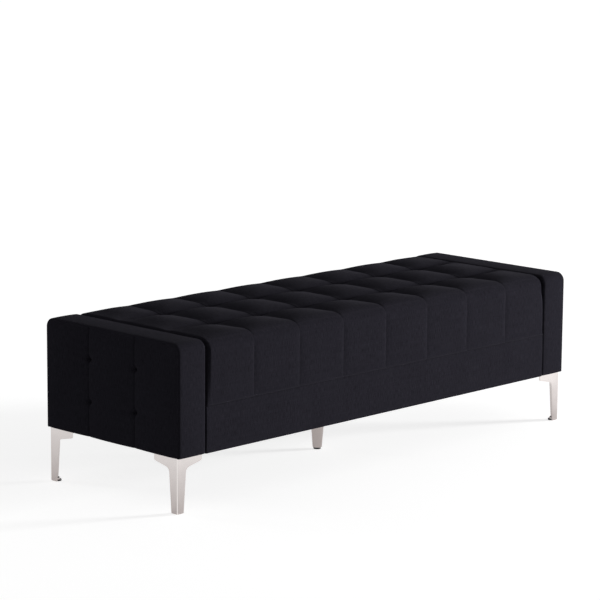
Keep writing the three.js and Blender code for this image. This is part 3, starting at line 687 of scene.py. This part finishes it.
def seatShape(look):
    # rounded box whose top drops towards the seams by puff times nearness to the power fall; along and across
    # join as a power sum that fades into level edges and ends, and bells add creases on the seams, a pinch at
    # each node, grooves down front and back and a bead along the lower edge
    low, high = boxOf("seat_cover")
    halfX, halfY = high[0], high[1]
    roundX, roundY, roundZ = look["round"]
    pitch = 2 * halfX / look["columns"]
    seamX = pitch * np.arange(1, look["columns"]) - halfX
    seamY = np.array([-0.5, 0.5]) * look["rowSpacing"]
    steps = look["roundSteps"]
    stopsX = np.concatenate([[roundX - halfX], seamX, [halfX - roundX]])
    stopsY = np.concatenate([[roundY - halfY], seamY, [halfY - roundY]])
    xs = framed(halfX, roundX, steps, lines(stopsX, [look["columnLines"]] * look["columns"]))
    ys = framed(halfY, roundY, steps, lines(stopsY, look["rowLines"]))
    side = np.linspace(low[2] + look["sideStart"], high[2] - roundZ, look["sideLines"])
    zs = np.concatenate([low[2] + np.array(look["foot"]), side, rounding(high[2], roundZ, steps)])
    flat, quads, caps, uv = boxNet(xs, ys, zs)
    x, y, z = flat.T
    radius = np.array([roundX, roundY, roundZ], float)
    points, facing = roundOff(flat, low, high, radius * (1, 1, 0), radius)
    upward = facing[:, 2] ** 2
    share = np.clip((flat[:, 2:] - low[2]) / (high[2] - low[2] - roundZ), 0, 1)
    soft = np.where(x < 0, *look["cornerSoft"])[:, None]
    early, late = look["cornerPower"]
    points = flat + (points - flat) * (soft * share ** early + (1 - soft) * share ** late)

    acrossX, acrossY = nearest(x, seamX), nearest(y, seamY)
    column = np.clip(1 - acrossX / (pitch / 2), 0, 1)
    row = np.clip(1 - acrossY / (look["rowSpacing"] / 2), 0, 1)
    edgeDrop, edgeWave = (np.where(y < 0, *look[key]) for key in ("edgeDrop", "edgeWave"))
    edgeReach = np.where(y < 0, *look["edgeReach"])
    edge = np.clip(1 - (halfY - np.abs(y)) / edgeReach, 0, 1) ** look["rimPower"]
    end = np.clip(1 - (halfX - np.abs(x)) / look["endReach"], 0, 1) ** look["rimPower"]
    falls = [puff * near ** fall for puff, near, fall in zip(look["puff"], (column, row), look["fall"])]
    drop = np.sum(np.power(falls, look["meet"]), axis=0) ** (1 / look["meet"])
    waves = zip((x, y), look["unevenLength"], look["unevenStart"])
    waveX, waveY = (np.sin(place / length + start) for place, length, start in waves)
    drop *= 1 + look["uneven"] * waveX * waveY
    drop += (edgeDrop + (edgeWave - 1) * drop) * edge
    drop += (look["endDrop"] - drop) * end
    creaseX, creaseY = (bell(across, look["creaseWidth"]) for across in (acrossX, acrossY))
    drop += look["crease"] * np.maximum(creaseX, creaseY * (1 - end))
    drop += look["pinch"] * bell(np.hypot(acrossX, acrossY), look["pinchWidth"])
    points[:, 2] -= drop * upward

    inward = look["groove"] * bell(acrossX, look["grooveWidth"]) + look["panelPuff"] * column ** 2
    points[:, 1] -= inward * facing[:, 1] * np.abs(facing[:, 1])
    tilt = np.degrees(np.arctan2(np.hypot(facing[:, 0], facing[:, 1]), facing[:, 2]))
    roll = bell(tilt - look["edgeCreaseTilt"], look["edgeCreaseAngle"])
    points -= facing * (look["edgeCrease"] * roll)[:, None]
    bead = look["bead"] * bell(z - low[2] - look["beadRise"], look["beadWidth"])
    points[:, :2] += facing[:, :2] * bead[:, None]
    # painted highlight: the bead, the lips beside the front grooves and the edge crease are painted lighter
    lip = bell(acrossX - look["grooveWidth"], look["grooveWidth"]) * facing[:, 1] ** 2
    onBead, onLip, onRoll = look["painted_highlight"]
    painted_highlight = onBead * bead / look["bead"] + onLip * lip + onRoll * roll
    height = np.clip((z - low[2]) / (high[2] - low[2]), 0, 1)
    lean = np.clip(1 - (halfX - np.abs(x)) / pitch, 0, 1) * np.sin(np.pi * height)
    points[:, 0] += np.where(x < 0, look["taper"][0], -look["taper"][1]) * lean

    seams = [bell(acrossX, look["holdSeam"]), bell(acrossY, look["holdSeam"]) * upward]
    held = np.maximum.reduce([*seams, bell(z - low[2], look["holdFoot"]), np.abs(facing[:, 0]), end])
    points[:, 2] -= look["start"] * upward * (1 - held) * (1 - edge)
    limit = look["swellSide"] + (look["swellTop"] - look["swellSide"]) * upward
    return flat, points, quads, caps, uv, np.clip(painted_highlight, 0, 1), held, limit[:, None]


flat, points, quads, caps, uv, painted_highlight, held, limit = seatShape(seatLook)
roughFlat, *rough, _, _, roughHeld, _ = seatShape({**seatLook, **seatRough})
move = swollen(*rough, roughHeld, clothLook)
points += capped(carried(move, roughFlat, flat), limit)
print("seat cover swelled by", round(float(np.abs(move).max()), 1), "mm before the limit")
faces = points, quads, caps
seat = makePiece("seat_cushion", *faces, fabric, "charcoal_fabric", ["seat_cover"], uv, painted_highlight=painted_highlight)
print("seat cushion made,", len(seat.data.polygons), "faces")


blockLook = {"round": 10, "roundSteps": 4, "counts": (30, 12, 6)}


def foamShape(look):
    # plain block with rounded upper edges and sides
    low, high = boxOf("seat_foam")
    r, steps = look["round"], look["roundSteps"]
    *across, up = look["counts"]
    xs, ys = (framed(h, r, steps, np.linspace(r - h, h - r, count)) for h, count in zip(high, across))
    zs = np.concatenate([np.linspace(low[2], high[2] - r, up), rounding(high[2], r, steps)])
    flat, quads, caps, _ = boxNet(xs, ys, zs)
    points, _ = roundOff(flat, low, high, np.array([r, r, 0.0]), np.array([r, r, r], float))
    return points, quads, caps


foamBlock = makePiece("seat_foam_block", *foamShape(blockLook), foam, "seat_foam", ["seat_foam"])


# padded arms

armLook = {
    "corner": 26, "edge": 8,
    "seamSpacing": 182, "tuftHeights": (96, 213),
    "panelPuff": 3.2, "rimDrop": 3, "rimReach": 45, "swell": 2,
    "crease": 2, "creaseWidth": 2.4,
    "tuft": 11, "tuftWidth": 7.5, "pleat": 1.2, "pleatWidth": 2.6, "pleatReach": 16,
    "bandPuff": 1.2, "footRound": 2.4, "hang": 0.15,
    "holdSeam": 5, "holdFoot": 25, "holdRim": 12,  # how wide seams, foot and rim are held
    "seamLines": 24, "tuftLines": (20, 24, 16), "bevelLines": 7, "thickLines": 10, "cornerLines": 8,
    "foot": (0, 0.6, 1.4, 2.4), "footTop": 4,
}
armRough = {
    "seamLines": 12, "tuftLines": (9, 12, 8), "bevelLines": 3, "thickLines": 4, "cornerLines": 4,
    "foot": (0, 2.4),
}


def armShape(look):
    # slab with round upper corners: outlines shrink towards the faces by a quarter round, and the outer face
    # is drawn in by panel puff times seam nearness squared, creases, and a bell at each tuft
    low, high = boxOf("left_arm_cover")
    thick, halfY, height = high[0] - low[0], high[1], high[2] - low[2]
    corner, edge, foot = look["corner"], look["edge"], look["footRound"]
    seamY = np.array([-0.5, 0.5]) * look["seamSpacing"]
    bevel = edge * (1 - np.cos(np.linspace(0, np.pi / 2, look["bevelLines"])))
    core = np.linspace(edge, thick - edge, look["thickLines"])[1:-1]
    ts = np.concatenate([bevel, core, thick - bevel[::-1]])
    steps = look["cornerLines"]
    stopsY = np.array([corner - halfY, *seamY, halfY - corner])
    ys = framed(halfY, corner, steps, lines(stopsY, [look["seamLines"]] * 3))
    stopsZ = np.array([look["footTop"], *look["tuftHeights"], height - corner])
    zs = np.concatenate([look["foot"], lines(stopsZ, look["tuftLines"]), rounding(height, corner, steps)])
    flat, quads, caps, uv = boxNet(ts, ys, zs)
    t, y, z = flat.T
    past = np.maximum(0, edge - np.minimum(t, thick - t))
    inset = edge - np.sqrt(edge ** 2 - past ** 2)
    middle = 1 - ((t - thick / 2) / (thick / 2)) ** 2
    under = foot - np.sqrt(np.maximum(0, foot ** 2 - np.maximum(0, foot - z) ** 2))
    shrink = 1 - (inset - look["bandPuff"] * middle + under) / corner
    coreY = np.minimum(halfY - corner, np.abs(y))
    coreZ = np.minimum(height - corner, z)
    outY, outZ = (np.abs(y) - coreY) * shrink, (z - coreZ) * shrink
    bend = np.maximum(outY, outZ) / np.maximum(np.hypot(outY, outZ), 1e-9)
    across = nearest(y, seamY)
    rise = nearest(z, look["tuftHeights"])
    seam = np.clip(1 - across / (look["seamSpacing"] / 2), 0, 1)
    rim = np.minimum(halfY - np.abs(y), height - z)
    drawn = look["panelPuff"] * seam ** 2 + look["rimDrop"] * np.clip(1 - rim / look["rimReach"], 0, 1) ** 2
    drawn += look["crease"] * bell(across, look["creaseWidth"])
    drawn += look["tuft"] * bell(np.hypot(across, rise), look["tuftWidth"])
    drawn += look["pleat"] * bell(rise, look["pleatWidth"]) * bell(across, look["pleatReach"])
    outer = np.where(t < edge, (1 - t / edge) ** 2, 0)
    face = np.where(t == 0, drawn, outer * drawn)
    faceX = t + face + (t == 0) * under
    points = np.stack([faceX, np.sign(y) * (coreY + outY * bend), coreZ + outZ * bend], -1)
    points += (low[0], 0, low[2] - look["hang"])
    edges = [bell(across, look["holdSeam"]), bell(z, look["holdFoot"]), bell(rim, look["holdRim"])]
    held = np.where(t > 0, 1, np.maximum.reduce(edges))
    return flat, points, quads, caps, uv, held


def mirrored(points, quads, caps, uv):
    # the same cover turned over end for end, with its faces wound the other way
    uvQuads = uv[: quads.size].reshape(-1, 4, 2)[:, ::-1].reshape(-1, 2)
    uvCap = uv[quads.size:][::-1]
    return points * (-1, 1, 1), quads[:, ::-1], [caps[0][::-1]], np.concatenate([uvQuads, uvCap])


flat, points, quads, caps, uv, held = armShape(armLook)
roughFlat, *rough, _, roughHeld = armShape({**armLook, **armRough})
move = swollen(*rough, roughHeld, clothLook)
points += capped(carried(move, roughFlat, flat), armLook["swell"])
print("arm cover swelled by", round(float(np.abs(move).max()), 1), "mm before the limit")
for side, shape in (("left", (points, quads, caps, uv)), ("right", mirrored(points, quads, caps, uv))):
    *faces, uv = shape
    arm = makePiece(side + "_arm_padding", *faces, fabric, "charcoal_fabric", [side + "_arm_cover"], uv)
    print(side, "arm made,", len(arm.data.polygons), "faces")


# bands of the seat box

bandLook = {"round": (2, 3, 1.5), "puff": 1.2, "hang": 1.2, "steps": 5, "counts": (120, 20)}


def bandShape(look, node, outward):
    # rounded board, swelling by puff times (one minus height share squared) on its outer face
    low, high = boxOf(node)
    middle, half = (low + high) / 2, (high - low) / 2
    radius, steps = np.array(look["round"], float), look["steps"]
    countX, countZ = look["counts"]
    coreX, coreZ = high[0] - radius[0], half[2] - radius[2]
    xs = framed(high[0], radius[0], steps, np.linspace(-coreX, coreX, countX))
    ys = middle[1] + framed(half[1], radius[1], steps, [0])
    zs = middle[2] + framed(half[2], radius[2], steps, np.linspace(-coreZ, coreZ, countZ))
    flat, quads, caps, uv = boxNet(xs, ys, zs)
    points, facing = roundOff(flat, low, high, radius, radius)
    share = (points[:, 2] - middle[2]) / half[2]
    grown = look["puff"] * (1 - share ** 2) * np.clip(facing[:, 1] * outward, 0, 1)
    points[:, 1] += outward * grown
    points[:, 2] -= look["hang"] * (1 - share) / 2
    return points, quads, caps, uv


for side in ("front", "back"):
    node = "base_" + side + "_band"
    *faces, uv = bandShape(bandLook, node, -1 if side == "front" else 1)
    band = makePiece(side + "_band_padding", *faces, fabric, "charcoal_fabric", [node], uv)
print("bands made")


# dust sheet under the seat box

dustLook = {
    "counts": (241, 61), "lift": 0.6, "thickness": 0.6,
    "sag": 3.5, "bayLength": 350, "sagPower": 1.5,
    "pucker": 0.25, "puckerLength": 6, "puckerReach": 20,
}


def dustShape(look):
    # flat sheet that sags by a power of a sine between the stretchers, with puckers that fade from its edges
    low, high = boxOf("dust_cover")
    u, v = np.meshgrid(*(np.linspace(-1, 1, count) for count in look["counts"]), indexing="ij")
    x, y = u * high[0], v * high[1]
    sag = look["sag"] * np.abs(np.sin(np.pi * x / look["bayLength"])) ** look["sagPower"] * (1 - v ** 4)
    edge = np.minimum(high[0] - np.abs(x), high[1] - np.abs(y))
    ripple = np.sin(x / look["puckerLength"]) * np.sin(y / look["puckerLength"])
    pucker = look["pucker"] * ripple * np.exp(-edge / look["puckerReach"])
    points = np.stack([x, y, low[2] + look["lift"] - sag + pucker], -1).reshape(-1, 3)
    quads = gridQuads(np.arange(u.size).reshape(u.shape), True)
    return points, quads, [], points[quads.ravel()][:, :2]


*faces, uv = dustShape(dustLook)
dust = makePiece("dust_sheet", *faces, dustCloth, "dust_cloth", ["dust_cover"], uv)
wall = dust.modifiers.new("wall", "SOLIDIFY")
wall.thickness = dustLook["thickness"] / 1000
wall.offset = 0
low, high = boxOf("dust_cover")
print("dust sheet made")


# legs

def tube(x, y, height):
    # rings of points, one for each height, joined by quads and closed by a cap at each end
    points = np.stack([x, y, np.broadcast_to(height, x.shape)], -1).reshape(-1, 3)
    number = np.arange(len(points)).reshape(x.shape)
    quads = gridQuads(np.concatenate([number, number[:, :1]], 1), True)
    return points, quads, [number[0][::-1], number[-1]]


def turnedShape(profile, centre, sides):
    # profile of radius and height carried round an upright axis
    angle = 2 * np.pi * np.arange(sides) / sides
    radius, height = np.asarray(profile, float).T[:, :, None]
    return tube(centre[0] + radius * np.cos(angle), centre[1] + radius * np.sin(angle), height)


def plateShape(outline, bottom, top, bevel):
    # outline given a thickness, with both rims bevelled in two steps
    before = outline - np.roll(outline, 1, 0)
    before /= np.linalg.norm(before, axis=1, keepdims=True)
    after = np.roll(before, -1, 0)
    inA, inB = before[:, ::-1] * (-1, 1), after[:, ::-1] * (-1, 1)
    inward = (inA + inB) / (1 + (inA * inB).sum(1, keepdims=True))
    part = 0.3 * bevel
    inset = np.array([bevel, part, 0, 0, part, bevel])[:, None]
    height = np.array([bottom, bottom + part, bottom + bevel, top - bevel, top - part, top])[:, None]
    x, y = (outline[:, k] + inward[:, k] * inset for k in (0, 1))
    return tube(x, y, height)


def joined(*shapes):
    # several shapes as one, with each one's point numbers moved on
    starts = np.cumsum([0] + [len(points) for points, quads, caps in shapes])
    points = np.concatenate([s[0] for s in shapes])
    quads = np.concatenate([s[1] + n for s, n in zip(shapes, starts)])
    caps = [cap + n for s, n in zip(shapes, starts) for cap in s[2]]
    return points, quads, caps


def arc(centre, radius, start, end, steps=5):
    # points along a circle between two angles in degrees
    angle = np.radians(np.linspace(start, end, steps))
    return np.column_stack([centre[0] + radius * np.cos(angle), centre[1] + radius * np.sin(angle)])


def towards(a, b, distance):
    # point at a distance from a on the line to b
    return a + (b - a) / np.linalg.norm(b - a) * distance


def between(a, b, count):
    # equal steps from a to b
    share = np.linspace(0, 1, count)[:, None]
    return a + (b - a) * share


def curved(a, b, c, count):
    # quadratic curve from a to c, drawn towards b
    share = np.linspace(0, 1, count)[:, None]
    return (1 - share) ** 2 * a + 2 * share * (1 - share) * b + share ** 2 * c


def bluntSquare(start, end, cut):
    # square with its far corner cut off
    return np.array([[start, start], [end, start], [end, cut], [cut, end], [start, end]])


legLook = {
    "foot": 23.5, "neck": 32.7, "neckDrop": 30.5, "fillet": 13, "fit": 0.3,
    "wingTip": 18, "tipRadius": 5, "wall": 4, "rim": 1.2, "heel": 1.6,
    "lead": 0.5,            # from each round to the line beside it
    "counts": (12, 16, 12, 9, 5),  # lines up the foot, round neck, along wing, round its tip and to the top
    "plate": 4, "plateBlunt": 36, "plateInset": 0.3, "plateGap": 0.05, "plateBevel": 0.8,
    "soleBottom": 5.3, "soleTop": 9.3, "soleBlunt": 12, "soleInset": 0.4, "soleGap": 0.5, "soleBevel": 0.5,
}


def legShape(look, reach, bottom, top):
    # angle section carried up the leg: each arm's length follows the wall's outline, foot to neck to wing
    fit, fillet, tipRadius = look["fit"], look["fillet"], look["tipRadius"]
    foot = np.array([look["foot"], bottom])
    neck = np.array([look["neck"], top + fit - look["neckDrop"]])
    tip = np.array([reach, top + fit - look["wingTip"]])
    start, end = towards(neck, foot, fillet), towards(neck, tip, fillet)
    turn, rise = towards(tip, neck, tipRadius), tip + np.array([0, tipRadius])
    upFoot, roundNeck, alongWing, roundTip, toTop = look["counts"]
    path = np.concatenate([
        between(foot, start, upFoot)[:-1], curved(start, neck, end, roundNeck)[:-1],
        between(end, turn, alongWing)[:-1], curved(turn, tip, rise, roundTip)[:-1],
        between(rise, np.array([reach, top]), toTop),
    ])

    wall, rim, heel, lead = look["wall"], look["rim"], look["heel"], look["lead"]
    inside = wall + heel
    ends = np.concatenate([arc((-rim, rim), rim, -90, 0), arc((-rim, wall - rim), rim, 0, 90)])
    armEnd = np.concatenate([[(-rim - lead, 0)], ends, [(-rim - lead, wall)]])
    inner, outer = arc((inside, inside), heel, 270, 180), arc((heel, heel), heel, 180, 270)
    inner = np.concatenate([[(inside + lead, wall)], inner, [(wall, inside + lead)]])
    outer = np.concatenate([[(0, heel + lead)], outer, [(heel + lead, 0)]])
    runs = [armEnd, inner, armEnd[::-1, ::-1], outer]
    section = np.concatenate(runs)
    onX, onY, onOuter = (np.repeat(np.arange(4) == k, [len(run) for run in runs]) for k in (0, 2, 3))
    x = section[:, 0] + onX * path[:, :1]
    y = section[:, 1] + onY * path[:, :1]
    shell = tube(x, y, path[:, 1:])

    inset = look["plateInset"]
    outline = bluntSquare(inset, reach - inset, look["plateBlunt"])
    plate = plateShape(outline, top - look["plate"], top - look["plateGap"], look["plateBevel"])
    outline = bluntSquare(look["soleInset"], look["foot"] - look["soleGap"], look["soleBlunt"])
    sole = plateShape(outline, look["soleBottom"], look["soleTop"], look["soleBevel"])
    # painted highlight along the rounded outer corner of the angle
    onHeel = onOuter & (section.max(1) < heel + lead / 2)
    painted_highlight = np.concatenate([np.tile(onHeel, len(path)), np.zeros(len(plate[0]) + len(sole[0]))])
    return *joined(shell, plate, sole), painted_highlight


def cornered(shape, corner, signX, signY):
    # moves a shape drawn at one corner to another, and turns its faces back where it is mirrored
    points, quads, caps = shape
    placed = points * (-signX, -signY, 1) + (*corner, 0)
    if signX * signY > 0:
        return placed, quads, caps
    return placed, quads[:, ::-1], [cap[::-1] for cap in caps]


glideLook = {
    "round": 1.2, "roundSteps": 6, "height": 5, "cap": 0.4, "lead": 0.4,
    "topEdge": (0.5, 0.8), "stem": 3, "stemEdge": 0.3, "sides": 48,
}


def glideShape(look, name):
    # flat disc with a rounded lower rim and a stem
    low, high = boxOf(name)
    radius, r = (high[0] - low[0]) / 2, look["round"]
    top, stem, edge = look["height"], look["stem"], look["stemEdge"]
    inset, drop = look["topEdge"]
    profile = np.concatenate([
        [(look["cap"] * radius, 0), (radius - r - look["lead"], 0)],
        arc((radius - r, r), r, -90, 0, look["roundSteps"]),
        [(radius, top - drop), (radius - inset, top)],
        [(stem + edge, top), (stem, top + edge), (stem, high[2])],
    ])
    return turnedShape(profile, (low[:2] + high[:2]) / 2, look["sides"])


screwLook = {
    "head": 4.2, "headHeight": 2.4, "dome": 1.5, "domePower": 3,
    "middle": 0.15, "rings": 18, "ringsEnd": 0.3, "lead": 0.06, "sides": 64,
    "shank": 2, "pointLength": 4, "point": 0.3,
    "slot": 0.55, "slotReach": 2.5, "slotDepth": 1.3, "slotLid": 0.2,
    "seed": 5,
}


def screwShape(look, name, turn):
    # domed head below a plain shank; the cross is a raised step where a point lies near either slot's line
    low, high = boxOf(name)
    centre = (low[:2] + high[:2]) / 2
    seatAt = low[2] + look["headHeight"]
    head, shank = look["head"], look["shank"]
    rings = np.linspace(look["middle"], head - look["ringsEnd"], look["rings"])
    radius = np.concatenate([rings, [head - look["lead"], head, head]])
    dome = low[2] + look["dome"] * (radius / head) ** look["domePower"]
    dome[-1] = seatAt
    below = [(shank, seatAt), (shank, high[2] - look["pointLength"]), (look["point"], high[2])]
    profile = np.concatenate([np.column_stack([radius, dome]), below])
    points, quads, caps = turnedShape(profile, centre, look["sides"])
    away = points[:, :2] - centre
    along = away @ np.array([[math.cos(turn), -math.sin(turn)], [math.sin(turn), math.cos(turn)]])
    onSlot = (np.abs(along).min(1) < look["slot"]) & (np.hypot(*away.T) < look["slotReach"])
    points[:, 2] += (onSlot & (points[:, 2] < seatAt - look["slotLid"])) * look["slotDepth"]
    return points, quads, caps


turns = iter(np.random.default_rng(screwLook["seed"]).uniform(0, np.pi, 12))
for end, signY in (("front", -1), ("back", 1)):
    for side, signX in (("left", -1), ("right", 1)):
        name = end + "_" + side
        low, high = boxOf(name + "_leg")
        corner = np.where([signX > 0, signY > 0], high[:2], low[:2])
        *shape, painted_highlight = legShape(legLook, high[0] - low[0], low[2], high[2])
        shape = cornered(shape, corner, signX, signY)
        makePiece(name + "_leg_metal", *shape, legMetal, "satin_metal", [name + "_leg"], sharp=40, painted_highlight=painted_highlight)
        shape = glideShape(glideLook, name + "_glide")
        makePiece(name + "_glide_disc", *shape, plastic, "black_plastic", [name + "_glide"], sharp=50)
        for k in (1, 2, 3):
            node = f"{name}_leg_screw_{k}"
            shape = screwShape(screwLook, node, next(turns))
            makePiece(f"{name}_screw_{k}_steel", *shape, zinc, "zinc_steel", [node], sharp=40)
print("corner legs, glides and screws made")

centreLook = {
    "bottom": 5.3, "fit": 0.3, "footRadius": 13.7, "topRadius": 24.7, "cap": 3.5, "stud": 4,
    "footEdge": ((1.2, 0), (0.4, 0.25)), "topEdge": ((0.3, 0.3), (1, 0)),  # in from the side and the end
    "coneInset": 0.1, "coneEnd": 1, "rings": 24, "sides": 72,
    "plateRound": 6, "plateSteps": 7, "plateBevel": 0.5,
}


def centreShape(look):
    # straight cone with small rounds at foot and top, and the stud above it
    low, high = boxOf("centre_leg")
    bottom, top = look["bottom"], boxOf("centre_leg_plate")[0][2] - look["fit"]
    footRadius, topRadius = look["footRadius"], look["topRadius"]
    radius = np.linspace(footRadius, topRadius - look["coneInset"], look["rings"])
    height = np.linspace(bottom + look["coneEnd"], top - look["coneEnd"], look["rings"])
    profile = np.concatenate([
        [(look["cap"], bottom)], [(footRadius - inset, bottom + rise) for inset, rise in look["footEdge"]],
        np.column_stack([radius, height]),
        [(topRadius - inset, top - drop) for inset, drop in look["topEdge"]],
        [(look["stud"], top), (look["stud"], high[2])],
    ])
    return turnedShape(profile, (0, 0), look["sides"])


def flangeShape(look):
    # square plate whose outline has a quarter round at each corner
    low, high = boxOf("centre_leg_plate")
    r = look["plateRound"]
    corners = [(-1, -1, 180), (1, -1, 270), (1, 1, 0), (-1, 1, 90)]
    outline = np.concatenate([
        arc((sx * (high[0] - r), sy * (high[1] - r)), r, start, start + 90, look["plateSteps"])
        for sx, sy, start in corners
    ])
    return plateShape(outline, low[2], high[2], look["plateBevel"])


shape = centreShape(centreLook)
# the cone takes the darker copy of the metal, painted shade
makePiece("centre_leg_cone", *shape, centreShadedMetal, "satin_metal", ["centre_leg"], sharp=40)
shape = glideShape(glideLook, "centre_glide")
makePiece("centre_glide_disc", *shape, plastic, "black_plastic", ["centre_glide"], sharp=50)
shape = flangeShape(centreLook)
makePiece("centre_leg_flange", *shape, zinc, "zinc_steel", ["centre_leg_plate"], sharp=40)
print("centre leg made")


# boards and bolts inside keep their solids

boards = {}
for name, node in frame["nodes"].items():
    if node.hide_render:
        continue
    low, high = boxOf(name)
    key = int((high - low).argmin()), int((high - low).argmax())
    if "bolt" not in name and key not in boards:
        boards[key] = makePlywood(plywoodLook, *key)
    node.data.materials.clear()
    node.data.materials.append(zinc if "bolt" in name else boards[key])
print("inner boards and bolts finished,", len(boards), "kinds of board")

low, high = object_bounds()
